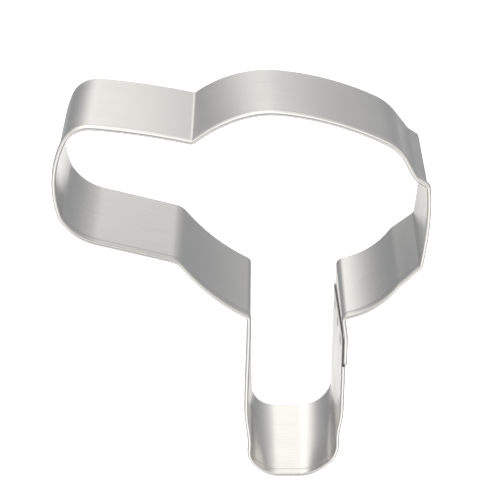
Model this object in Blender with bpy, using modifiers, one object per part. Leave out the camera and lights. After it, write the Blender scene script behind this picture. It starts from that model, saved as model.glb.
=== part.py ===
"""A hair-dryer-shaped cookie cutter: one bent steel strip with a hemmed rim, its ends lapped and spot welded.

The cutting edge lies on the plane z = 0 and the rim is up. The nozzle points to -X and the handle to -Y.
"""

import math

import bmesh
import bpy
from mathutils import Vector

MM = 0.001

# The strip's section
STRIP_HEIGHT = 24.0 * MM
SHEET = 0.3 * MM
HEM_HEIGHT = 1.7 * MM
HEM_THICKNESS = 0.95 * MM
HEM_SET_IN = 0.12 * MM
HEM_JOG = 0.3 * MM
HEM_TIP_GAP = 0.1 * MM

# The lap of the two ends, on the handle's rear wall
LAP_BELOW_BODY = 6.3 * MM
LAP_LENGTH = 5.6 * MM
LAP_GAP = 0.04 * MM
HEM_END_GAP = 0.4 * MM

# The spot welds
WELD_DIAMETER = 2.2 * MM
WELD_CLEARANCE = 0.04 * MM
WELD_DIMPLE = 0.05 * MM
WELD_EDGE_MARGIN = 4.2 * MM

# The handle, measured from its root, the line between the two creases under the body
HANDLE_WIDTH = 18.6 * MM
FOOT_WIDTH = 18.4 * MM
HANDLE_LENGTH = 39.1 * MM
FOOT_ROUND_FRONT = 5.5 * MM
FOOT_ROUND_REAR = 7.5 * MM
KNEE_HEIGHT = 15.0 * MM
BEND_MARGIN = 0.5 * MM

# The nozzle. Places are from the handle's centre line and from its root
CHIN_FRONT = 44.6 * MM
CHIN_HEIGHT = 18.7 * MM
CHIN_ROUND = 10.4 * MM
NOZZLE_REACH = 47.6 * MM
NOZZLE_BASE = 23.1 * MM
MOUTH_HEIGHT = 20.5 * MM
MOUTH_SLANT = 3.4 * MM
MOUTH_BOW = 2.4 * MM
MOUTH_ROUND_LOW = 5.0 * MM
MOUTH_ROUND_HIGH = 6.7 * MM
NOZZLE_BOW = 0.5 * MM

# The body
CHEEK_FRONT = 24.1 * MM
CHEEK_HEIGHT = 13.2 * MM
CHEEK_BOW = 1.2 * MM
CHEEK_ROUND = 4.0 * MM
BROW_FRONT = 20.9 * MM
BROW_HEIGHT = 40.1 * MM
BROW_BOW = 1.6 * MM
CREST_FRONT = 4.2 * MM
CREST_HEIGHT = 45.3 * MM
CREST_ROUND = 25.0 * MM
CROWN_BOW = 1.25 * MM
SHOULDER_BACK = 19.2 * MM
SHOULDER_HEIGHT = 38.1 * MM
SHOULDER_ROUND = 13.4 * MM
BELLY_BOW = 1.55 * MM

# The shallow cap at the back of the body
CAP_REACH = 26.0 * MM
CAP_BASE = 11.7 * MM
CAP_HEIGHT = 18.8 * MM
CAP_BOW = 0.65 * MM
CAP_TOP_STEP = 2.3 * MM
CAP_TOP_RISE = 1.55 * MM
CAP_BASE_STEP = 4.8 * MM
CAP_BASE_DROP = 3.9 * MM
CAP_BASE_ROUND = 4.0 * MM
CAP_ROUND = 1.1 * MM

# Sharp bends. Those at the handle's root are wider, because the leaning rim crowds them
CREASE_ROUND = 1.0 * MM
ROOT_ROUND = 1.5 * MM

# How far the rim stands out past the cutting edge: sheet springs open unevenly when it is bent
HANDLE_LEAN = 0.9 * MM
KNEE_LEAN = 0.9 * MM
HEEL_LEAN = 0.15 * MM
FOOT_LEAN = 1.85 * MM
ROOT_LEAN = 0.25 * MM
CREST_LEAN = 1.2 * MM
SHOULDER_LEAN = 0.85 * MM
CAP_BASE_LEAN = -0.65 * MM

# Fineness of the faceted solid
BEND_STEP = math.radians(9)
SIDE_STEP = 2.5 * MM
SHORTEST_FACET = 0.3 * MM
ROLL_FACETS = 8
WELD_FACETS = 24
SHARP_EDGE = math.radians(30)

STEEL_COLOUR = (0.62, 0.62, 0.60, 1.0)
STEEL_ROUGHNESS = 0.3
WELD_COLOUR = (0.50, 0.50, 0.49, 1.0)
WELD_ROUGHNESS = 0.45


def clear_scene():
    for thing in list(bpy.data.objects):
        bpy.data.objects.remove(thing, do_unlink=True)


def new_collection(name):
    collection = bpy.data.collections.new(name)
    bpy.context.scene.collection.children.link(collection)
    return collection


def steel(name, colour, roughness):
    material = bpy.data.materials.new(name)
    material.use_nodes = True
    shader = material.node_tree.nodes["Principled BSDF"]
    shader.inputs["Base Color"].default_value = colour
    shader.inputs["Metallic"].default_value = 1.0
    shader.inputs["Roughness"].default_value = roughness
    return material


def corner(x, y, radius, bow_after=0.0, lean=0.0):
    """A corner of the outline: its rounding, the bow of the side after it, and the rim's lean there."""
    return {"at": Vector((x, y)), "round": radius, "bow": bow_after, "lean": lean}


def station(start, toward, distance, lean):
    """A place along a straight side, at this distance from its start, where the rim's lean changes."""
    return corner(*(start + (toward - start).normalized() * distance), 0.0, 0.0, lean)


def handle_corners():
    """Down the handle's rear wall, round its foot and up its front wall, as the rim's lean changes there."""
    rear_root = Vector((HANDLE_WIDTH / 2, 0.0))
    rear_foot = Vector((FOOT_WIDTH / 2, -HANDLE_LENGTH))
    front_foot = Vector((-FOOT_WIDTH / 2, -HANDLE_LENGTH))
    front_root = Vector((-HANDLE_WIDTH / 2, 0.0))
    rear = FOOT_ROUND_REAR + BEND_MARGIN
    front = FOOT_ROUND_FRONT + BEND_MARGIN
    corner_lean = (HEEL_LEAN + FOOT_LEAN) / 2
    return [
        station(rear_foot, rear_root, KNEE_HEIGHT, KNEE_LEAN),
        station(rear_foot, rear_root, rear, HEEL_LEAN),
        corner(*rear_foot, FOOT_ROUND_REAR, 0.0, corner_lean),
        station(rear_foot, front_foot, rear, FOOT_LEAN),
        station(front_foot, rear_foot, front, FOOT_LEAN),
        corner(*front_foot, FOOT_ROUND_FRONT, 0.0, corner_lean),
        station(front_foot, front_root, front, HEEL_LEAN),
        station(front_foot, front_root, KNEE_HEIGHT, KNEE_LEAN),
    ]


def outline_corners():
    """The corners from the handle's rear wall, round by the nozzle and crest, to the crease over the lap."""
    mouth_top = NOZZLE_BASE + MOUTH_HEIGHT
    cap_top = CAP_BASE + CAP_HEIGHT
    return handle_corners() + [
        corner(-HANDLE_WIDTH / 2, 0.0, ROOT_ROUND, CHEEK_BOW, ROOT_LEAN),
        corner(-CHEEK_FRONT, CHEEK_HEIGHT, CHEEK_ROUND),
        corner(-CHIN_FRONT, CHIN_HEIGHT, CHIN_ROUND),
        corner(-NOZZLE_REACH, NOZZLE_BASE, MOUTH_ROUND_LOW, MOUTH_BOW),
        corner(MOUTH_SLANT - NOZZLE_REACH, mouth_top, MOUTH_ROUND_HIGH, NOZZLE_BOW),
        corner(-BROW_FRONT, BROW_HEIGHT, CREASE_ROUND, BROW_BOW),
        corner(-CREST_FRONT, CREST_HEIGHT, CREST_ROUND, CROWN_BOW, CREST_LEAN),
        corner(SHOULDER_BACK, SHOULDER_HEIGHT, SHOULDER_ROUND, 0.0, SHOULDER_LEAN),
        corner(CAP_REACH - CAP_TOP_STEP, cap_top + CAP_TOP_RISE, CREASE_ROUND),
        corner(CAP_REACH, cap_top, CAP_ROUND, CAP_BOW),
        corner(CAP_REACH, CAP_BASE, CAP_ROUND, 0.0, CAP_BASE_LEAN),
        corner(CAP_REACH - CAP_BASE_STEP, CAP_BASE - CAP_BASE_DROP, CAP_BASE_ROUND, BELLY_BOW),
        corner(HANDLE_WIDTH / 2, 0.0, ROOT_ROUND, 0.0, ROOT_LEAN),
    ]


def side_points(start, end, bow):
    """Points along a side, ends included: straight, or an arc that stands outwards, to its left, by bow."""
    if not bow:
        return [start, end]
    span = end - start
    count = max(2, round(span.length / SIDE_STEP))
    out = Vector((-span.y, span.x)).normalized()
    radius = (span.length**2 / 4 + bow**2) / (2 * bow)
    centre = (start + end) / 2 - out * (radius - bow)
    half = math.asin(span.length / 2 / radius)
    along = span.normalized()
    angles = [half * (2 * i / count - 1) for i in range(count + 1)]
    return [centre + radius * (out * math.cos(a) + along * math.sin(a)) for a in angles]


def lengths_along(points):
    """How far along the polyline each of its points lies."""
    run = [0.0]
    for a, b in zip(points, points[1:]):
        run.append(run[-1] + (b - a).length)
    return run


def trimmed(points, head, tail):
    """The stretch of a polyline left when these lengths are cut from its two ends."""
    lengths = lengths_along(points)
    total = lengths[-1]

    def at(distance):
        for i in range(len(points) - 1):
            if distance <= lengths[i + 1]:
                break
        return points[i].lerp(points[i + 1], (distance - lengths[i]) / (lengths[i + 1] - lengths[i]))

    first = head + SHORTEST_FACET
    last = total - tail - SHORTEST_FACET
    kept = [p for p, s in zip(points, lengths) if first < s < last]
    return [at(head)] + kept + [at(total - tail)]


def bend_points(before, start, end, after):
    """Points between start and end on a smooth bend that leaves along before and arrives along after."""
    turn = abs(before.angle_signed(after))
    chord = (end - start).length
    count = max(2, round(turn / BEND_STEP), round(chord / SIDE_STEP))
    reach = chord * 2 / 3 / (1 + math.cos(turn / 2))
    controls = (start, start + before * reach, end - after * reach, end)
    weights = (1, 3, 3, 1)
    points = []
    for i in range(1, count):
        t = i / count
        point = Vector((0.0, 0.0))
        for k, (weight, control) in enumerate(zip(weights, controls)):
            point += weight * (1 - t) ** (3 - k) * t**k * control
        points.append(point)
    return points


def setback(side, following, radius):
    """How far a bend of this radius reaches along each of the two sides that it joins."""
    turn = (side[-1] - side[-2]).angle(following[1] - following[0])
    return radius * math.tan(turn / 2)


def smooth_step(t):
    return t * t * (3 - 2 * t)


def spread_leans(points, places, leans):
    """The rim's lean at every point: as given at the places, and changing smoothly between them."""
    run = lengths_along(points)
    spread = []
    for i, (first, last) in enumerate(zip(places, places[1:])):
        for k in range(first, last):
            share = (run[k] - run[first]) / (run[last] - run[first])
            spread.append(leans[i] + (leans[i + 1] - leans[i]) * smooth_step(share))
    return spread + [leans[-1]]


def rear_wall():
    """The handle's rear wall, where the lap is: its top, the way down it and the way out of it."""
    corners = outline_corners()
    root = corners[-1]["at"]
    down = (corners[0]["at"] - root).normalized()
    return root, down, Vector((-down.y, down.x))


def strip_path():
    """(point, lean) along the strip: its inner end, the place where its hem starts, on to its outer end."""
    corners = outline_corners()
    root, down, out = rear_wall()
    outside = out * (SHEET + LAP_GAP)
    lap_top = root + down * LAP_BELOW_BODY
    lap_tip = lap_top + down * LAP_LENGTH
    hem_start = lap_tip + down * HEM_END_GAP
    corners[-1]["at"] = root + outside
    corners.insert(0, corner(*hem_start, 0.0, 0.0, HANDLE_LEAN))
    corners.append(corner(*(lap_top + outside), 0.0, 0.0, HANDLE_LEAN))
    corners.append(corner(*(lap_tip + outside), 0.0, 0.0, HANDLE_LEAN))

    whole = [side_points(a["at"], b["at"], a["bow"]) for a, b in zip(corners, corners[1:])]
    inner_corners = corners[1:-1]
    setbacks = [setback(a, b, c["round"]) for a, b, c in zip(whole, whole[1:], inner_corners)]
    heads = [0.0] + setbacks
    tails = setbacks + [0.0]
    sides = [trimmed(side, head, tail) for side, head, tail in zip(whole, heads, tails)]

    points = []
    middles = []
    for i, side in enumerate(sides):
        if i and setbacks[i - 1]:
            last = sides[i - 1]
            before = (last[-1] - last[-2]).normalized()
            after = (side[1] - side[0]).normalized()
            bend = bend_points(before, last[-1], side[0], after)
            middles.append(len(points) + len(bend) // 2)
            points += bend
        elif i:
            points.pop()
            middles.append(len(points))
        points += side
    places = [0] + middles + [len(points) - 1]
    path = list(zip(points, spread_leans(points, places, [spot["lean"] for spot in corners])))
    return [(lap_top, HANDLE_LEAN)] + path


def section_lines():
    """The middle of the sheet as (outward, up) points: the wall up to the roll, then the fold to its tip."""
    roll = (HEM_THICKNESS - SHEET) / 2
    roll_height = STRIP_HEIGHT - HEM_THICKNESS / 2
    hem_base = STRIP_HEIGHT - HEM_HEIGHT
    wall = [(0.0, 0.0), (0.0, hem_base - HEM_JOG), (-HEM_SET_IN, hem_base), (-HEM_SET_IN, roll_height)]
    fold = []
    for k in range(1, ROLL_FACETS + 1):
        angle = math.pi * (1 - k / ROLL_FACETS)
        fold.append((roll - HEM_SET_IN + roll * math.cos(angle), roll_height + roll * math.sin(angle)))
    fold.append((SHEET + HEM_TIP_GAP - HEM_SET_IN, hem_base))
    return wall, fold


def poly_curve(name, points, cyclic, collection):
    curve = bpy.data.curves.new(name, "CURVE")
    curve.dimensions = "3D"
    spline = curve.splines.new("POLY")
    spline.points.add(len(points) - 1)
    for spot, point in zip(spline.points, points):
        spot.co = (*point, 0.0, 1.0)
    spline.use_cyclic_u = cyclic
    thing = bpy.data.objects.new(name, curve)
    collection.objects.link(thing)
    return thing


def leaning(outward, up):
    """A section's point where the wall leans as it does along the lap."""
    lean = math.atan2(HANDLE_LEAN, STRIP_HEIGHT)
    return outward * math.cos(lean) + up * math.sin(lean), up * math.cos(lean) - outward * math.sin(lean)


def swept_sheet(parts, cutters, path):
    """The middle surface of the strip: its section line swept along its path, leaning as the path says."""
    wall, fold = section_lines()
    section = poly_curve("strip_section", [(-outward, up) for outward, up in wall + fold], False, cutters)
    section.hide_render = True
    sweep = poly_curve("strip_sweep", [point for point, lean in path], False, parts)
    sweep.data.twist_mode = "Z_UP"
    sweep.data.bevel_mode = "OBJECT"
    sweep.data.bevel_object = section
    for spot, (point, lean) in zip(sweep.data.splines[0].points, path):
        spot.tilt = -math.atan2(lean, STRIP_HEIGHT)
    graph = bpy.context.evaluated_depsgraph_get()
    mesh = bpy.data.meshes.new_from_object(sweep.evaluated_get(graph))
    bpy.data.objects.remove(sweep, do_unlink=True)
    return mesh


def cut_inner_hem(mesh):
    """Takes the fold off the first stretch, so that the plain inner end lies flat inside the outer one."""
    wall, fold = section_lines()
    row = len(wall) + len(fold)
    bm = bmesh.new()
    bm.from_mesh(mesh)
    cut = []
    for face in bm.faces:
        spots = [vert.index for vert in face.verts]
        on_first_stretch = max(spots) < 2 * row
        on_fold = max(spot % row for spot in spots) >= len(wall)
        if on_first_stretch and on_fold:
            cut.append(face)
    bmesh.ops.delete(bm, geom=cut, context="FACES")
    bm.to_mesh(mesh)
    bm.free()


def thickened(mesh, parts):
    """A sheet that runs along this surface, with its plain edge trued to the plane that it stands on."""
    sheet = bpy.data.objects.new("strip_sheet", mesh)
    parts.objects.link(sheet)
    solidify = sheet.modifiers.new("sheet", "SOLIDIFY")
    solidify.thickness = SHEET
    solidify.offset = 0.0
    solidify.use_quality_normals = True
    graph = bpy.context.evaluated_depsgraph_get()
    solid = bpy.data.meshes.new_from_object(sheet.evaluated_get(graph))
    bpy.data.objects.remove(sheet, do_unlink=True)
    for vert in solid.vertices:
        if vert.co.z < SHEET:
            vert.co.z = 0.0
    return solid


def cutter_strip(parts, cutters, material):
    surface = swept_sheet(parts, cutters, strip_path())
    cut_inner_hem(surface)
    mesh = thickened(surface, parts)
    mesh.name = "cutter_strip"
    mesh.materials.append(material)
    mesh.shade_smooth()
    mesh.set_sharp_from_angle(angle=SHARP_EDGE)
    strip = bpy.data.objects.new("cutter_strip", mesh)
    parts.objects.link(strip)
    return strip


def weld_places():
    """(name, centre, rotation) of each spot weld, up the middle of the lap and square to the leaning wall."""
    root, down, out = rear_wall()
    middle = root + down * (LAP_BELOW_BODY + LAP_LENGTH / 2)
    between = (SHEET + LAP_GAP) / 2
    across, drop = leaning(1.0, 0.0)
    axis = (out * across).to_3d() + Vector((0, 0, drop))
    top = STRIP_HEIGHT - HEM_HEIGHT - WELD_EDGE_MARGIN
    places = []
    for name, height in (
        ("spot_weld_low", WELD_EDGE_MARGIN),
        ("spot_weld_middle", (WELD_EDGE_MARGIN + top) / 2),
        ("spot_weld_high", top),
    ):
        sideways, level = leaning(between, height)
        centre = (middle + out * sideways).to_3d() + Vector((0, 0, level))
        places.append((name, centre, axis.to_track_quat("Z", "Y").to_euler()))
    return places


def disc(name, collection, radius, depth, centre, rotation):
    bpy.ops.mesh.primitive_cylinder_add(
        vertices=WELD_FACETS, radius=radius, depth=depth, location=centre, rotation=rotation
    )
    made = bpy.context.active_object
    made.name = name
    for home in list(made.users_collection):
        home.objects.unlink(made)
    collection.objects.link(made)
    return made


def add_spot_welds(strip, parts, cutters, material):
    """Each nugget fills a hole through both sheets and stops just below their faces, as a dimple."""
    nuggets = []
    hole_radius = WELD_DIAMETER / 2 + WELD_CLEARANCE
    for name, centre, rotation in weld_places():
        through = disc(name + "_hole", cutters, hole_radius, WELD_DIAMETER, centre, rotation)
        through.hide_render = True
        through.display_type = "WIRE"
        cut = strip.modifiers.new(name + "_hole", "BOOLEAN")
        cut.operation = "DIFFERENCE"
        cut.object = through
        depth = 2 * (SHEET - WELD_DIMPLE) + LAP_GAP
        nugget = disc(name, parts, WELD_DIAMETER / 2, depth, centre, rotation)
        nugget.data.materials.append(material)
        nuggets.append(nugget)
    return nuggets


def centre_on_origin(strip, others, parts):
    """Carries everything on an empty, so that the middle of the strip's footprint stands on the origin."""
    carrier = bpy.data.objects.new("cutter_centre", None)
    parts.objects.link(carrier)
    corners = [Vector(spot) for spot in strip.bound_box]
    low = Vector([min(spot[k] for spot in corners) for k in range(3)])
    high = Vector([max(spot[k] for spot in corners) for k in range(3)])
    carrier.location = (-(low.x + high.x) / 2, -(low.y + high.y) / 2, 0.0)
    for thing in [strip] + others:
        thing.parent = carrier


def main():
    clear_scene()
    parts = new_collection("cookie_cutter")
    cutters = new_collection("cutters")
    strip = cutter_strip(parts, cutters, steel("satin_steel", STEEL_COLOUR, STEEL_ROUGHNESS))
    welds = add_spot_welds(strip, parts, cutters, steel("weld_steel", WELD_COLOUR, WELD_ROUGHNESS))
    holes = [thing for thing in cutters.objects if thing.type == "MESH"]
    bpy.context.view_layer.update()
    centre_on_origin(strip, welds + holes, parts)


main()
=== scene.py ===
"""The looks of a hair-dryer-shaped cookie cutter: satin strip steel on a pale floor, in soft studio light.

Lengths are in metres, in the part's own frame. The plain cutting edge stands on z = 0, and the folded rim
is up. The nozzle points to -X and the handle to -Y.
"""

import math

import bmesh
import bpy
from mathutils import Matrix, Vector


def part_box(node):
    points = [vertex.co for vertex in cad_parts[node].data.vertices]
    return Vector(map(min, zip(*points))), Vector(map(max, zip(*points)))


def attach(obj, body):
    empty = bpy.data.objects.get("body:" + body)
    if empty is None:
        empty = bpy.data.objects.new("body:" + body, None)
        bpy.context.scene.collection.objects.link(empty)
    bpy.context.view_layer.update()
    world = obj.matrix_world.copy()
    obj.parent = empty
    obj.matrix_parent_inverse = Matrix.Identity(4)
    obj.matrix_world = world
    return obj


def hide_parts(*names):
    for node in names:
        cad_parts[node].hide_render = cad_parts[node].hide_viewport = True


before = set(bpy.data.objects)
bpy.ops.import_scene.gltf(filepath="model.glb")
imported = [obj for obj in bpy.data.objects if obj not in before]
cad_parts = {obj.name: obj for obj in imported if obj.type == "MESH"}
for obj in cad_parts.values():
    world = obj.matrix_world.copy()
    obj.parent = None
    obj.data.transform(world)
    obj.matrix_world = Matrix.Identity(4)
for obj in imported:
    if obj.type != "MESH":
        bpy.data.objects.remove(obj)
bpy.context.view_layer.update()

MM = 0.001

# The strip's section
STRIP_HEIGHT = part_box("cutter_strip")[1][2]
SHEET = 0.3 * MM
HEM_HEIGHT = 1.7 * MM
HEM_THICKNESS = 0.95 * MM
HEM_SET_IN = 0.12 * MM
HEM_JOG = 0.3 * MM
HEM_TIP_GAP = 0.1 * MM
EDGE_ROUND = 0.03 * MM

# The hem's face: its roll is this thick, it widens over this share of its height, and then it tucks in
HEM_ROLL = 0.86 * MM
HEM_FLARE = 0.5

# The lap of the two ends, on the handle's rear wall
LAP_BELOW_BODY = 6.3 * MM
LAP_LENGTH = 5.6 * MM
LAP_GAP = 0.04 * MM
HEM_END_GAP = 0.4 * MM

# The spot welds
WELD_DIAMETER = 2.2 * MM
WELD_DIMPLE = 0.05 * MM
WELD_SHOULDER = 0.25 * MM
WELD_EDGE_MARGIN = 4.2 * MM
WELD_TINT_WIDTH = 0.8 * MM

# The handle, measured from its root, the line between the two creases under the body
HANDLE_WIDTH = 18.6 * MM
FOOT_WIDTH = 18.4 * MM
HANDLE_LENGTH = 39.1 * MM
FOOT_ROUND_FRONT = 5.5 * MM
FOOT_ROUND_REAR = 7.5 * MM
KNEE_HEIGHT = 15.0 * MM
BEND_MARGIN = 0.5 * MM

# The nozzle. Places are from the handle's centre line and from its root
CHIN_FRONT = 44.6 * MM
CHIN_HEIGHT = 18.7 * MM
CHIN_ROUND = 10.4 * MM
NOZZLE_REACH = 47.6 * MM
NOZZLE_BASE = 23.1 * MM
MOUTH_HEIGHT = 20.5 * MM
MOUTH_SLANT = 3.4 * MM
MOUTH_BOW = 2.4 * MM
MOUTH_ROUND_LOW = 5.0 * MM
MOUTH_ROUND_HIGH = 6.7 * MM
NOZZLE_BOW = 0.5 * MM

# The body
CHEEK_FRONT = 24.1 * MM
CHEEK_HEIGHT = 13.2 * MM
CHEEK_BOW = 1.2 * MM
CHEEK_ROUND = 4.0 * MM
BROW_FRONT = 20.9 * MM
BROW_HEIGHT = 40.1 * MM
BROW_BOW = 1.6 * MM
CREST_FRONT = 4.2 * MM
CREST_HEIGHT = 45.3 * MM
CREST_ROUND = 25.0 * MM
CROWN_BOW = 1.25 * MM
SHOULDER_BACK = 19.2 * MM
SHOULDER_HEIGHT = 38.1 * MM
SHOULDER_ROUND = 13.4 * MM
BELLY_BOW = 1.55 * MM

# The shallow cap at the back of the body
CAP_REACH = 26.0 * MM
CAP_BASE = 11.7 * MM
CAP_HEIGHT = 18.8 * MM
CAP_BOW = 0.65 * MM
CAP_TOP_STEP = 2.3 * MM
CAP_TOP_RISE = 1.55 * MM
CAP_BASE_STEP = 4.8 * MM
CAP_BASE_DROP = 3.9 * MM
CAP_BASE_ROUND = 4.0 * MM
CAP_ROUND = 1.1 * MM

# Sharp bends, and how far the rim stands out past the cutting edge
CREASE_ROUND = 1.0 * MM
ROOT_ROUND = 1.5 * MM
HANDLE_LEAN = 0.9 * MM
KNEE_LEAN = 0.9 * MM
HEEL_LEAN = 0.15 * MM
FOOT_LEAN = 1.85 * MM
ROOT_LEAN = 0.25 * MM
CREST_LEAN = 1.2 * MM
SHOULDER_LEAN = 0.85 * MM
CAP_BASE_LEAN = -0.65 * MM

# Fineness of the dressed strip
BEND_STEP = math.radians(3)
SIDE_STEP = 1.0 * MM
SHORTEST_FACET = 0.15 * MM
FLAT_MARGIN = 0.2 * MM
WALL_ROWS = 8
JOG_FACETS = 4
ROLL_FACETS = 20
FOLD_FACETS = 10
EDGE_FACETS = 2
WELD_FACETS = 64
DIMPLE_FACETS = 4
SAME_PLACE = 0.001 * MM
SHARP_EDGE = math.radians(40)

# The strip's two materials, on its faces and on its cut edges, and the map that they are laid out on
FACE_SLOT = 0
EDGE_SLOT = 1
STRIP_MAP = "along_strip"

# Noise lies mostly between these values, so tones and gloss are spread over them
NOISE_RANGE = (0.3, 0.7)
WHOLE_RANGE = (0.0, 1.0)

# Noise on the strip: waves per metre along it, waves per metre across it, and how much finer detail it has
ROLLING_LINES = (60.0, 9000.0, 3.0)
GLOSS_CLOUDS = (90.0, 160.0, 2.0)
SHEET_WAVES = (55.0, 40.0, 1.0)
SHEAR_TEARS = (7000.0, 900.0, 3.0)

# Grain on the welds: waves per metre, and how much finer detail it has
GRAIN_WAVES = 6000.0
GRAIN_DETAIL = 3.0

# Relief from the noise: its strength and its depth
LINE_RELIEF = (0.1, 0.002 * MM)
WAVE_RELIEF = (1.0, 0.06 * MM)
TEAR_RELIEF = (0.5, 0.01 * MM)
GRAIN_RELIEF = (0.6, 0.01 * MM)

# Gloss: the satin faces blur reflections more up the wall than along it, a quarter turn from the tangent
SATIN_ROUGHNESS = (0.23, 0.27)
SATIN_ANISOTROPY = 0.67
QUARTER_TURN = 0.25
SHEARED_ROUGHNESS = 0.5
WELD_ROUGHNESS = (0.34, 0.56)

# Colours of the steel, as (place, colour) stops
SATIN_TONES = [(0.3, (0.635, 0.625, 0.605)), (0.7, (0.685, 0.675, 0.655))]
# The cut edges' dark tones: partly the duller sheared steel, partly painted shade standing in for the shadow
# line at the lap's inner end
SHEARED_AND_PAINTED_SHADE_TONES = [(0.3, (0.16, 0.155, 0.15)), (0.7, (0.26, 0.255, 0.245))]
HEAT_TINTS = [
    (0.0, (0.72, 0.76, 0.84)),
    (0.3, (0.80, 0.74, 0.70)),
    (0.65, (0.95, 0.88, 0.76)),
    (1.0, (1.0, 1.0, 1.0)),
]
WELD_TONES = [
    (0.0, (0.50, 0.49, 0.47)),
    (0.6, (0.46, 0.43, 0.39)),
    (0.85, (0.38, 0.36, 0.38)),
    (1.0, (0.43, 0.45, 0.50)),
]

# The camera looks down 60 degrees, on a place a little in front of the handle's root and above it
IMAGE_WIDTH = 497
FOCAL_PIXELS = 1754.6
SENSOR = 36.0
CAMERA_TILT = math.radians(30)
CAMERA_DISTANCE = 384.6 * MM
LOOK_FRONT = 9.79 * MM
LOOK_HEIGHT = 2.37 * MM
NEAREST_SEEN = 0.01

# The floor, a hair below the cutting edge
FLOOR_SIZE = 4.0
FLOOR_DROP = 0.02 * MM
FLOOR_TONE = (0.86, 0.86, 0.86, 1.0)
FLOOR_ROUGHNESS = 0.9

# The studio: an even surround with soft bright areas, and a lamp over the floor that the steel doesn't mirror
SURROUND = 0.29

# Each area: degrees from +X toward +Y, degrees up from level, width and height in degrees, and strength
BRIGHT_AREAS = [
    (0, -50, 180, 22, 0.10),
    (297, -72, 11, 12, 1.80),
    (84, -64, 38, 25, 0.43),
    (93, -54, 15, 10, 0.62),
    (112, -54, 12, 12, 0.26),
    (124, -36, 16, 12, 0.75),
    (251, -39, 15, 15, 1.00),
    (270, -60, 15, 12, 0.80),
    (90, -38, 38, 9, 0.62),
    (90, 0, 55, 14, 2.40),
    (270, 52, 90, 14, 1.50),
]

# The surround's tint, by how bright it is
SURROUND_TINTS = [(0.3, (0.955, 0.985, 1.03)), (1.0, (1.0, 0.985, 0.965))]

LAMP_HEIGHT = 1.0
LAMP_WIDTH = 1.0
LAMP_POWER = 30.0


def corner(x, y, radius, bow_after=0.0, lean=0.0):
    """A corner of the outline: its rounding, the bow of the side after it, and the rim's lean there."""
    return {"at": Vector((x, y)), "round": radius, "bow": bow_after, "lean": lean}


def station(start, toward, distance, lean):
    """A place along a straight side, at this distance from its start, where the rim's lean changes."""
    return corner(*(start + (toward - start).normalized() * distance), 0.0, 0.0, lean)


def handle_corners():
    """Down the handle's rear wall, round its foot and up its front wall, as the rim's lean changes there."""
    rear_root = Vector((HANDLE_WIDTH / 2, 0.0))
    rear_foot = Vector((FOOT_WIDTH / 2, -HANDLE_LENGTH))
    front_foot = Vector((-FOOT_WIDTH / 2, -HANDLE_LENGTH))
    front_root = Vector((-HANDLE_WIDTH / 2, 0.0))
    rear = FOOT_ROUND_REAR + BEND_MARGIN
    front = FOOT_ROUND_FRONT + BEND_MARGIN
    corner_lean = (HEEL_LEAN + FOOT_LEAN) / 2
    return [
        station(rear_foot, rear_root, KNEE_HEIGHT, KNEE_LEAN),
        station(rear_foot, rear_root, rear, HEEL_LEAN),
        corner(*rear_foot, FOOT_ROUND_REAR, 0.0, corner_lean),
        station(rear_foot, front_foot, rear, FOOT_LEAN),
        station(front_foot, rear_foot, front, FOOT_LEAN),
        corner(*front_foot, FOOT_ROUND_FRONT, 0.0, corner_lean),
        station(front_foot, front_root, front, HEEL_LEAN),
        station(front_foot, front_root, KNEE_HEIGHT, KNEE_LEAN),
    ]


def outline_corners():
    """The corners from the handle's rear wall, round by the nozzle and crest, to the crease over the lap."""
    mouth_top = NOZZLE_BASE + MOUTH_HEIGHT
    cap_top = CAP_BASE + CAP_HEIGHT
    return handle_corners() + [
        corner(-HANDLE_WIDTH / 2, 0.0, ROOT_ROUND, CHEEK_BOW, ROOT_LEAN),
        corner(-CHEEK_FRONT, CHEEK_HEIGHT, CHEEK_ROUND),
        corner(-CHIN_FRONT, CHIN_HEIGHT, CHIN_ROUND),
        corner(-NOZZLE_REACH, NOZZLE_BASE, MOUTH_ROUND_LOW, MOUTH_BOW),
        corner(MOUTH_SLANT - NOZZLE_REACH, mouth_top, MOUTH_ROUND_HIGH, NOZZLE_BOW),
        corner(-BROW_FRONT, BROW_HEIGHT, CREASE_ROUND, BROW_BOW),
        corner(-CREST_FRONT, CREST_HEIGHT, CREST_ROUND, CROWN_BOW, CREST_LEAN),
        corner(SHOULDER_BACK, SHOULDER_HEIGHT, SHOULDER_ROUND, 0.0, SHOULDER_LEAN),
        corner(CAP_REACH - CAP_TOP_STEP, cap_top + CAP_TOP_RISE, CREASE_ROUND),
        corner(CAP_REACH, cap_top, CAP_ROUND, CAP_BOW),
        corner(CAP_REACH, CAP_BASE, CAP_ROUND, 0.0, CAP_BASE_LEAN),
        corner(CAP_REACH - CAP_BASE_STEP, CAP_BASE - CAP_BASE_DROP, CAP_BASE_ROUND, BELLY_BOW),
        corner(HANDLE_WIDTH / 2, 0.0, ROOT_ROUND, 0.0, ROOT_LEAN),
    ]


def side_points(start, end, bow):
    """Points along a side, ends included: straight, or an arc that stands outwards, to its left, by bow."""
    span = end - start
    count = max(2, round(span.length / SIDE_STEP))
    if not bow:
        return [start.lerp(end, i / count) for i in range(count + 1)]
    out = Vector((-span.y, span.x)).normalized()
    radius = (span.length**2 / 4 + bow**2) / (2 * bow)
    centre = (start + end) / 2 - out * (radius - bow)
    half = math.asin(span.length / 2 / radius)
    along = span.normalized()
    angles = [half * (2 * i / count - 1) for i in range(count + 1)]
    return [centre + radius * (out * math.cos(a) + along * math.sin(a)) for a in angles]


def lengths_along(points):
    """How far along the polyline each of its points lies."""
    run = [0.0]
    for a, b in zip(points, points[1:]):
        run.append(run[-1] + (b - a).length)
    return run


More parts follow.
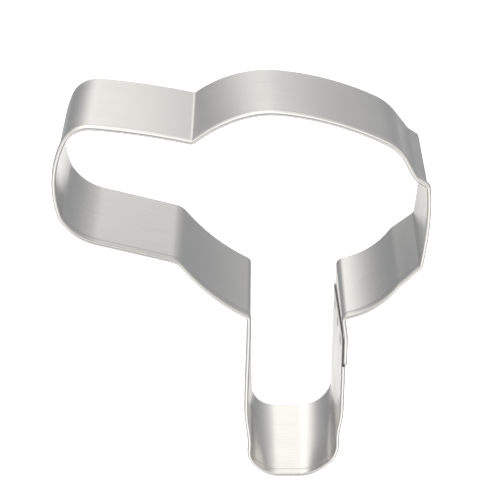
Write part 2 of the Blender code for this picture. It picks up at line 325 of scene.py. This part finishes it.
def trimmed(points, head, tail):
    """The stretch of a polyline left when these lengths are cut from its two ends."""
    lengths = lengths_along(points)
    total = lengths[-1]

    def at(distance):
        for i in range(len(points) - 1):
            if distance <= lengths[i + 1]:
                break
        return points[i].lerp(points[i + 1], (distance - lengths[i]) / (lengths[i + 1] - lengths[i]))

    first = head + SHORTEST_FACET
    last = total - tail - SHORTEST_FACET
    kept = [p for p, s in zip(points, lengths) if first < s < last]
    return [at(head)] + kept + [at(total - tail)]


def bend_points(before, start, end, after):
    """Points between start and end on a smooth bend that leaves along before and arrives along after."""
    turn = abs(before.angle_signed(after))
    chord = (end - start).length
    count = max(2, round(turn / BEND_STEP), round(chord / SIDE_STEP))
    reach = chord * 2 / 3 / (1 + math.cos(turn / 2))
    controls = (start, start + before * reach, end - after * reach, end)
    weights = (1, 3, 3, 1)
    points = []
    for i in range(1, count):
        t = i / count
        point = Vector((0.0, 0.0))
        for k, (weight, control) in enumerate(zip(weights, controls)):
            point += weight * (1 - t) ** (3 - k) * t**k * control
        points.append(point)
    return points


def setback(side, following, radius):
    """How far a bend of this radius reaches along each of the two sides that it joins."""
    turn = (side[-1] - side[-2]).angle(following[1] - following[0])
    return radius * math.tan(turn / 2)


def spread_leans(points, places, leans):
    """The rim's lean at every point: as given at the places, and changing smoothly between them."""
    run = lengths_along(points)
    spread = []
    for i, (first, last) in enumerate(zip(places, places[1:])):
        for k in range(first, last):
            share = (run[k] - run[first]) / (run[last] - run[first])
            spread.append(leans[i] + (leans[i + 1] - leans[i]) * smooth_step(share))
    return spread + [leans[-1]]


def rear_wall():
    """The handle's rear wall, where the lap is: its top, the way down it and the way out of it."""
    corners = outline_corners()
    root = corners[-1]["at"]
    down = (corners[0]["at"] - root).normalized()
    return root, down, Vector((-down.y, down.x))


def strip_path():
    """(point, lean) along the strip, from the place where its hem starts to its outer end."""
    corners = outline_corners()
    root, down, out = rear_wall()
    outside = out * (SHEET + LAP_GAP)
    lap_top = root + down * LAP_BELOW_BODY
    lap_tip = lap_top + down * LAP_LENGTH
    hem_start = lap_tip + down * HEM_END_GAP
    corners[-1]["at"] = root + outside
    corners.insert(0, corner(*hem_start, 0.0, 0.0, HANDLE_LEAN))
    corners.append(corner(*(lap_top + outside), 0.0, 0.0, HANDLE_LEAN))
    corners.append(corner(*(lap_tip + outside), 0.0, 0.0, HANDLE_LEAN))

    whole = [side_points(a["at"], b["at"], a["bow"]) for a, b in zip(corners, corners[1:])]
    setbacks = [setback(a, b, c["round"]) for a, b, c in zip(whole, whole[1:], corners[1:-1])]
    heads = [0.0] + setbacks
    tails = setbacks + [0.0]
    sides = [trimmed(side, head, tail) for side, head, tail in zip(whole, heads, tails)]

    points = []
    middles = []
    for i, side in enumerate(sides):
        if i and setbacks[i - 1]:
            last = sides[i - 1]
            before = (last[-1] - last[-2]).normalized()
            after = (side[1] - side[0]).normalized()
            bend = bend_points(before, last[-1], side[0], after)
            middles.append(len(points) + len(bend) // 2)
            points += bend
        elif i:
            points.pop()
            middles.append(len(points))
        points += side
    places = [0] + middles + [len(points) - 1]
    leans = [spot["lean"] for spot in corners]
    return list(zip(points, spread_leans(points, places, leans)))


def smooth_step(t):
    """An even rise from 0 to 1 that starts and ends level."""
    return t * t * (3 - 2 * t)


def section_lines():
    """The middle of the sheet as (outward, up) points: the wall up to the roll, then the fold to its tip."""
    roll = (HEM_ROLL - SHEET) / 2
    roll_height = STRIP_HEIGHT - HEM_ROLL / 2
    hem_base = STRIP_HEIGHT - HEM_HEIGHT
    wide = HEM_THICKNESS - SHEET - HEM_SET_IN
    tip = SHEET + HEM_TIP_GAP - HEM_SET_IN
    wall = [(0.0, 0.0)]
    flat = hem_base - HEM_JOG - 2 * FLAT_MARGIN
    for k in range(WALL_ROWS + 1):
        wall.append((0.0, FLAT_MARGIN + flat * k / WALL_ROWS))
    for k in range(JOG_FACETS + 1):
        t = k / JOG_FACETS
        wall.append((-HEM_SET_IN * smooth_step(t), hem_base - HEM_JOG * (1 - t)))
    wall.append((-HEM_SET_IN, roll_height))
    fold = []
    for k in range(1, ROLL_FACETS + 1):
        angle = math.pi * (1 - k / ROLL_FACETS)
        fold.append((roll - HEM_SET_IN + roll * math.cos(angle), roll_height + roll * math.sin(angle)))
    brow = fold[-1][0]
    for k in range(1, FOLD_FACETS + 1):
        t = k / FOLD_FACETS
        flare = brow + (wide - brow) * min(t / HEM_FLARE, 1.0)
        tuck = smooth_step(max(t - HEM_FLARE, 0.0) / (1 - HEM_FLARE))
        fold.append((flare + (tip - flare) * tuck, roll_height + (hem_base - roll_height) * t))
    return wall, fold


def leaning(outward, up, lean):
    """A section's point where the rim stands out by lean."""
    tilt = math.atan2(lean, STRIP_HEIGHT)
    return outward * math.cos(tilt) + up * math.sin(tilt), up * math.cos(tilt) - outward * math.sin(tilt)


def sheet_surface(name):
    """The strip's middle surface. Its map holds metres, along the strip and up the wall and over the fold."""
    root, down, _ = rear_wall()
    start = root + down * LAP_BELOW_BODY
    path = strip_path()
    wall, fold = section_lines()
    rise = lengths_along([Vector(spot) for spot in wall + fold])
    count = max(2, round((LAP_LENGTH + HEM_END_GAP) / SIDE_STEP))
    hem_start = path[0][0]
    inner_end = [(start.lerp(hem_start, k / count), HANDLE_LEAN) for k in range(count)]
    stations = inner_end + path
    run = lengths_along([point for point, lean in stations])

    bm = bmesh.new()
    uv = bm.loops.layers.uv.new(STRIP_MAP)
    rows = []
    for i, (point, lean) in enumerate(stations):
        ahead = stations[min(i + 1, len(stations) - 1)][0]
        behind = stations[max(i - 1, 0)][0]
        along = ((ahead - point).normalized() + (point - behind).normalized()).normalized()
        outward = Vector((-along.y, along.x))
        section = wall if i < count else wall + fold
        row = []
        for across, up in section:
            sideways, height = leaning(across, up, lean)
            row.append(bm.verts.new((*(point + outward * sideways), height)))
        rows.append(row)
    for i, (row, following) in enumerate(zip(rows, rows[1:])):
        for k in range(min(len(row), len(following)) - 1):
            face = bm.faces.new((row[k], following[k], following[k + 1], row[k + 1]))
            face.smooth = True
            spots = ((i, k), (i + 1, k), (i + 1, k + 1), (i, k + 1))
            for loop, (station, level) in zip(face.loops, spots):
                loop[uv].uv = (run[station], rise[level])
    mesh = bpy.data.meshes.new(name)
    bm.to_mesh(mesh)
    bm.free()
    return mesh


def add_object(name, mesh):
    thing = bpy.data.objects.new(name, mesh)
    bpy.context.scene.collection.objects.link(thing)
    return thing


def applied(thing):
    """The object's mesh with its modifiers, in place of the mesh that it had."""
    graph = bpy.context.evaluated_depsgraph_get()
    mesh = bpy.data.meshes.new_from_object(thing.evaluated_get(graph))
    thing.modifiers.clear()
    thing.data = mesh


def weld_places():
    """(name, centre, rotation) of each spot weld, up the middle of the lap and square to the leaning wall."""
    root, down, out = rear_wall()
    middle = root + down * (LAP_BELOW_BODY + LAP_LENGTH / 2)
    across, drop = leaning(1.0, 0.0, HANDLE_LEAN)
    axis = (out * across).to_3d() + Vector((0, 0, drop))
    top = STRIP_HEIGHT - HEM_HEIGHT - WELD_EDGE_MARGIN
    heights = {
        "spot_weld_low": WELD_EDGE_MARGIN,
        "spot_weld_middle": (WELD_EDGE_MARGIN + top) / 2,
        "spot_weld_high": top,
    }
    places = []
    for name, height in heights.items():
        sideways, level = leaning((SHEET + LAP_GAP) / 2, height, HANDLE_LEAN)
        centre = (middle + out * sideways).to_3d() + Vector((0, 0, level))
        places.append((name, centre, axis.to_track_quat("Z", "Y").to_euler()))
    return places


def pierce(strip):
    """Cuts the round weld places out of both sheets, for the dimpled weld metal to fill."""
    punches = []
    for name, centre, rotation in weld_places():
        bpy.ops.mesh.primitive_cylinder_add(
            vertices=WELD_FACETS,
            radius=WELD_DIAMETER / 2,
            depth=WELD_DIAMETER,
            location=centre,
            rotation=rotation,
        )
        punch = bpy.context.active_object
        cut = strip.modifiers.new(name, "BOOLEAN")
        cut.operation = "DIFFERENCE"
        cut.object = punch
        punches.append(punch)
    applied(strip)
    for punch in punches:
        bpy.data.objects.remove(punch, do_unlink=True)


def build_strip():
    """The bent strip as sheet of even thickness with softened edges."""
    strip = add_object("bent_strip", sheet_surface("bent_strip"))
    for _ in (FACE_SLOT, EDGE_SLOT):
        strip.data.materials.append(None)
    solidify = strip.modifiers.new("sheet", "SOLIDIFY")
    solidify.thickness = SHEET
    solidify.offset = 0.0
    solidify.use_quality_normals = True
    solidify.material_offset_rim = EDGE_SLOT
    bevel = strip.modifiers.new("edges", "BEVEL")
    bevel.width = EDGE_ROUND
    bevel.segments = EDGE_FACETS
    bevel.limit_method = "ANGLE"
    bevel.angle_limit = SHARP_EDGE
    applied(strip)
    # The leaning wall's plain edge is trued to the plane that it stands on
    for vert in strip.data.vertices:
        vert.co.z = max(vert.co.z, 0.0)
    pierce(strip)
    strip.data.shade_smooth()
    strip.data.set_sharp_from_angle(angle=SHARP_EDGE)
    return strip


def build_weld(name, centre, rotation):
    """Weld metal through both sheets, with a shallow dimple on each face where an electrode pressed."""
    radius = WELD_DIAMETER / 2
    face = SHEET + LAP_GAP / 2
    floor = radius - WELD_SHOULDER
    upper = [(0.0, face - WELD_DIMPLE), (floor, face - WELD_DIMPLE)]
    for k in range(1, DIMPLE_FACETS + 1):
        t = k / DIMPLE_FACETS
        upper.append((floor + WELD_SHOULDER * t, face - WELD_DIMPLE * (1 - smooth_step(t))))
    profile = upper + [(across, -up) for across, up in reversed(upper)]
    bm = bmesh.new()
    spots = [bm.verts.new((across, 0.0, up)) for across, up in profile]
    edges = [bm.edges.new(pair) for pair in zip(spots, spots[1:])]
    bmesh.ops.spin(
        bm,
        geom=spots + edges,
        cent=(0, 0, 0),
        axis=(0, 0, 1),
        angle=math.tau,
        steps=WELD_FACETS,
        use_merge=True,
    )
    bmesh.ops.remove_doubles(bm, verts=bm.verts, dist=SAME_PLACE)
    bmesh.ops.recalc_face_normals(bm, faces=bm.faces)
    mesh = bpy.data.meshes.new(name)
    bm.to_mesh(mesh)
    bm.free()
    mesh.shade_smooth()
    mesh.set_sharp_from_angle(angle=SHARP_EDGE)
    weld = add_object(name, mesh)
    weld.location = centre
    weld.rotation_euler = rotation
    return weld


def carry_to_frame(strip, welds):
    """Centres the dressed pieces on the CAD's box, keeps their finer bends inside it, and gives the shift."""
    low, high = (Vector(spot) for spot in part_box("cutter_strip"))
    spots = [vert.co for vert in strip.data.vertices]
    least = Vector([min(spot[axis] for spot in spots) for axis in range(3)])
    most = Vector([max(spot[axis] for spot in spots) for axis in range(3)])
    shift = (low + high - least - most) / 2
    shift.z = 0.0
    fit = min((high - low).x / (most - least).x, (high - low).y / (most - least).y, 1.0)
    for spot in spots + [weld.location for weld in welds]:
        spot += shift
        spot.xy *= fit
        spot.z *= high.z / most.z
    return shift


def new_material(name):
    material = bpy.data.materials.new(name)
    material.use_nodes = True
    return material, material.node_tree.nodes, material.node_tree.links


def new_metal(name):
    material, nodes, links = new_material(name)
    shader = nodes["Principled BSDF"]
    shader.inputs["Metallic"].default_value = 1.0
    return material, nodes, links, shader


def math_node(nodes, links, operation, first, second, third=0.0):
    """A maths node with these inputs, each a number or a socket, and its result."""
    node = nodes.new("ShaderNodeMath")
    node.operation = operation
    for socket, value in zip(node.inputs, (first, second, third)):
        if isinstance(value, float):
            socket.default_value = value
        else:
            links.new(value, socket)
    return node.outputs["Value"]


def ramp(nodes, links, value, stops):
    """The colour that these (place, colour) stops give to a value."""
    node = nodes.new("ShaderNodeValToRGB")
    elements = node.color_ramp.elements
    while len(elements) < len(stops):
        elements.new(0.5)
    for element, (place, colour) in zip(elements, stops):
        element.position = place
        element.color = (*colour, 1.0)
    links.new(value, node.inputs["Fac"])
    return node.outputs["Color"]


def spread_over(nodes, links, value, source, target):
    """A value carried from one range to another, each given by its two ends."""
    node = nodes.new("ShaderNodeMapRange")
    ends = zip(("From Min", "From Max", "To Min", "To Max"), (*source, *target))
    for name, end in ends:
        node.inputs[name].default_value = end
    links.new(value, node.inputs["Value"])
    return node.outputs["Result"]


def relief(nodes, links, height, strength, depth, normal=None):
    """The normal of fine relief, on top of the normal given."""
    node = nodes.new("ShaderNodeBump")
    node.inputs["Strength"].default_value = strength
    node.inputs["Distance"].default_value = depth
    links.new(height, node.inputs["Height"])
    if normal is not None:
        links.new(normal, node.inputs["Normal"])
    return node.outputs["Normal"]


def strip_noise(nodes, links, along, across, detail):
    """Noise on the strip's own map, with this many waves per metre along and across it."""
    uv = nodes.new("ShaderNodeUVMap")
    uv.uv_map = STRIP_MAP
    mapping = nodes.new("ShaderNodeMapping")
    mapping.inputs["Scale"].default_value = (along, across, 1.0)
    noise = nodes.new("ShaderNodeTexNoise")
    noise.inputs["Scale"].default_value = 1.0
    noise.inputs["Detail"].default_value = detail
    links.new(uv.outputs["UV"], mapping.inputs["Vector"])
    links.new(mapping.outputs["Vector"], noise.inputs["Vector"])
    return noise.outputs["Fac"]


def heat_tint(nodes, links, centres):
    """A colour to multiply the steel by: blue to straw rings round the welds, white elsewhere."""
    place = nodes.new("ShaderNodeTexCoord").outputs["Object"]
    distances = []
    for centre in centres:
        distance = nodes.new("ShaderNodeVectorMath")
        distance.operation = "DISTANCE"
        distance.inputs[1].default_value = centre
        links.new(place, distance.inputs[0])
        distances.append(distance.outputs["Value"])
    nearest = distances[0]
    for distance in distances[1:]:
        nearest = math_node(nodes, links, "MINIMUM", nearest, distance)
    edge = WELD_DIAMETER / 2
    ring = spread_over(nodes, links, nearest, (edge, edge + WELD_TINT_WIDTH), WHOLE_RANGE)
    return ramp(nodes, links, ring, HEAT_TINTS)


def satin_steel(weld_centres):
    """Cold-rolled strip: rolling lines along its length, faint waviness, and a heat tint round each weld."""
    material, nodes, links, shader = new_metal("satin_strip_steel")
    shader.inputs["Anisotropic"].default_value = SATIN_ANISOTROPY
    shader.inputs["Anisotropic Rotation"].default_value = QUARTER_TURN
    tangent = nodes.new("ShaderNodeTangent")
    tangent.direction_type = "UV_MAP"
    tangent.uv_map = STRIP_MAP
    links.new(tangent.outputs["Tangent"], shader.inputs["Tangent"])

    lines = strip_noise(nodes, links, *ROLLING_LINES)
    clouds = strip_noise(nodes, links, *GLOSS_CLOUDS)
    waves = strip_noise(nodes, links, *SHEET_WAVES)

    mix = nodes.new("ShaderNodeMix")
    mix.data_type = "RGBA"
    mix.blend_type = "MULTIPLY"
    mix.inputs["Factor"].default_value = 1.0
    links.new(ramp(nodes, links, lines, SATIN_TONES), mix.inputs["A"])
    links.new(heat_tint(nodes, links, weld_centres), mix.inputs["B"])
    links.new(mix.outputs["Result"], shader.inputs["Base Color"])

    links.new(spread_over(nodes, links, clouds, NOISE_RANGE, SATIN_ROUGHNESS), shader.inputs["Roughness"])
    fine = relief(nodes, links, lines, *LINE_RELIEF)
    links.new(relief(nodes, links, waves, *WAVE_RELIEF, fine), shader.inputs["Normal"])
    return material


def sheared_and_painted_shade_steel():
    """The cut edges of the sheet: dull and torn by the shears across their thickness, and dark, a darkness
    that is partly the duller sheared steel and partly painted shade for the shadow line along the lap's inner
    end.
    """
    material, nodes, links, shader = new_metal("sheared_edge_steel_painted_shade")
    shader.inputs["Roughness"].default_value = SHEARED_ROUGHNESS
    tears = strip_noise(nodes, links, *SHEAR_TEARS)
    # The very dark edge colour is partly painted shade, for the shadow line at the lap's inner end
    links.new(ramp(nodes, links, tears, SHEARED_AND_PAINTED_SHADE_TONES), shader.inputs["Base Color"])
    links.new(relief(nodes, links, tears, *TEAR_RELIEF), shader.inputs["Normal"])
    return material


def weld_steel():
    """Steel that an electrode pressed: duller, grained, straw to blue from the middle to the edge."""
    material, nodes, links, shader = new_metal("weld_spot_steel")
    place = nodes.new("ShaderNodeTexCoord").outputs["Object"]
    length = nodes.new("ShaderNodeVectorMath")
    length.operation = "LENGTH"
    links.new(place, length.inputs[0])
    ring = spread_over(nodes, links, length.outputs["Value"], (SHEET, WELD_DIAMETER / 2), WHOLE_RANGE)
    links.new(ramp(nodes, links, ring, WELD_TONES), shader.inputs["Base Color"])

    noise = nodes.new("ShaderNodeTexNoise")
    noise.inputs["Scale"].default_value = GRAIN_WAVES
    noise.inputs["Detail"].default_value = GRAIN_DETAIL
    links.new(place, noise.inputs["Vector"])
    grain = noise.outputs["Fac"]
    links.new(spread_over(nodes, links, grain, WHOLE_RANGE, WELD_ROUGHNESS), shader.inputs["Roughness"])
    links.new(relief(nodes, links, grain, *GRAIN_RELIEF), shader.inputs["Normal"])
    return material


def add_floor():
    bpy.ops.mesh.primitive_plane_add(size=FLOOR_SIZE, location=(0.0, 0.0, -FLOOR_DROP))
    floor = bpy.context.active_object
    floor.name = "floor"
    material, nodes, links = new_material("pale_floor")
    shader = nodes["Principled BSDF"]
    shader.inputs["Base Color"].default_value = FLOOR_TONE
    shader.inputs["Roughness"].default_value = FLOOR_ROUGHNESS
    floor.data.materials.append(material)
    floor.visible_glossy = False
    floor.visible_shadow = False


def add_camera(shift):
    look_at = Vector((-LOOK_FRONT, LOOK_HEIGHT, 0.0)) + shift
    camera = bpy.data.cameras.new("photo_camera")
    camera.sensor_fit = "HORIZONTAL"
    camera.sensor_width = SENSOR
    camera.lens = FOCAL_PIXELS / IMAGE_WIDTH * SENSOR
    camera.clip_start = NEAREST_SEEN
    eye = bpy.data.objects.new("photo_camera", camera)
    bpy.context.scene.collection.objects.link(eye)
    back = Vector((0.0, math.sin(CAMERA_TILT), math.cos(CAMERA_TILT)))
    eye.location = look_at + back * CAMERA_DISTANCE
    eye.rotation_euler = (-CAMERA_TILT, 0.0, 0.0)
    bpy.context.scene.camera = eye


def bright_area(nodes, links, level, height, area):
    """How bright a soft area is, from the level direction that is looked in and the height in radians."""
    azimuth, elevation, width, rise, strength = area
    turn = math.radians(azimuth)
    narrowness = 1 / math.radians(width) ** 2
    steepness = 1 / math.radians(rise) / math.sqrt(2)
    facing = nodes.new("ShaderNodeVectorMath")
    facing.operation = "DOT_PRODUCT"
    facing.inputs[1].default_value = (math.cos(turn), math.sin(turn), 0.0)
    links.new(level, facing.inputs[0])
    peak = math.log(strength) - narrowness
    across = math_node(nodes, links, "MULTIPLY_ADD", facing.outputs["Value"], narrowness, peak)
    off = math_node(nodes, links, "MULTIPLY_ADD", height, steepness, -math.radians(elevation) * steepness)
    fall = math_node(nodes, links, "MULTIPLY", off, off)
    power = math_node(nodes, links, "SUBTRACT", across, fall)
    return math_node(nodes, links, "POWER", math.e, power)


def add_surround():
    """The light all round, which the steel mirrors: an even level with soft bright areas added to it."""
    world = bpy.data.worlds.new("studio")
    bpy.context.scene.world = world
    world.use_nodes = True
    nodes = world.node_tree.nodes
    links = world.node_tree.links
    direction = nodes.new("ShaderNodeTexCoord").outputs["Generated"]
    split = nodes.new("ShaderNodeSeparateXYZ")
    links.new(direction, split.inputs["Vector"])
    height = math_node(nodes, links, "ARCSINE", split.outputs["Z"], 0.0)
    flat = nodes.new("ShaderNodeCombineXYZ")
    links.new(split.outputs["X"], flat.inputs["X"])
    links.new(split.outputs["Y"], flat.inputs["Y"])
    level = nodes.new("ShaderNodeVectorMath")
    level.operation = "NORMALIZE"
    links.new(flat.outputs["Vector"], level.inputs[0])
    total = SURROUND
    for area in BRIGHT_AREAS:
        glow = bright_area(nodes, links, level.outputs["Vector"], height, area)
        total = math_node(nodes, links, "ADD", glow, total)
    background = nodes["Background"]
    links.new(ramp(nodes, links, total, SURROUND_TINTS), background.inputs["Color"])
    links.new(total, background.inputs["Strength"])


def add_lights():
    add_surround()
    light = bpy.data.lights.new("overhead", "AREA")
    light.size = LAMP_WIDTH
    light.energy = LAMP_POWER
    lamp = bpy.data.objects.new("overhead", light)
    bpy.context.scene.collection.objects.link(lamp)
    lamp.location = (0.0, 0.0, LAMP_HEIGHT)
    lamp.visible_glossy = False
    bpy.context.scene.view_settings.view_transform = "Standard"


def main():
    strip = build_strip()
    welds = [build_weld(*place) for place in weld_places()]
    shift = carry_to_frame(strip, welds)
    strip.data.materials[FACE_SLOT] = satin_steel([tuple(weld.location) for weld in welds])
    strip.data.materials[EDGE_SLOT] = sheared_and_painted_shade_steel()
    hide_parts("cutter_strip")
    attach(strip, "root")
    metal = weld_steel()
    for weld in welds:
        node = weld.name.split(".")[0]
        weld.name = node + "_metal"
        weld.data.materials.append(metal)
        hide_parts(node)
        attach(weld, "root")
    add_floor()
    add_lights()
    add_camera(shift)


main()
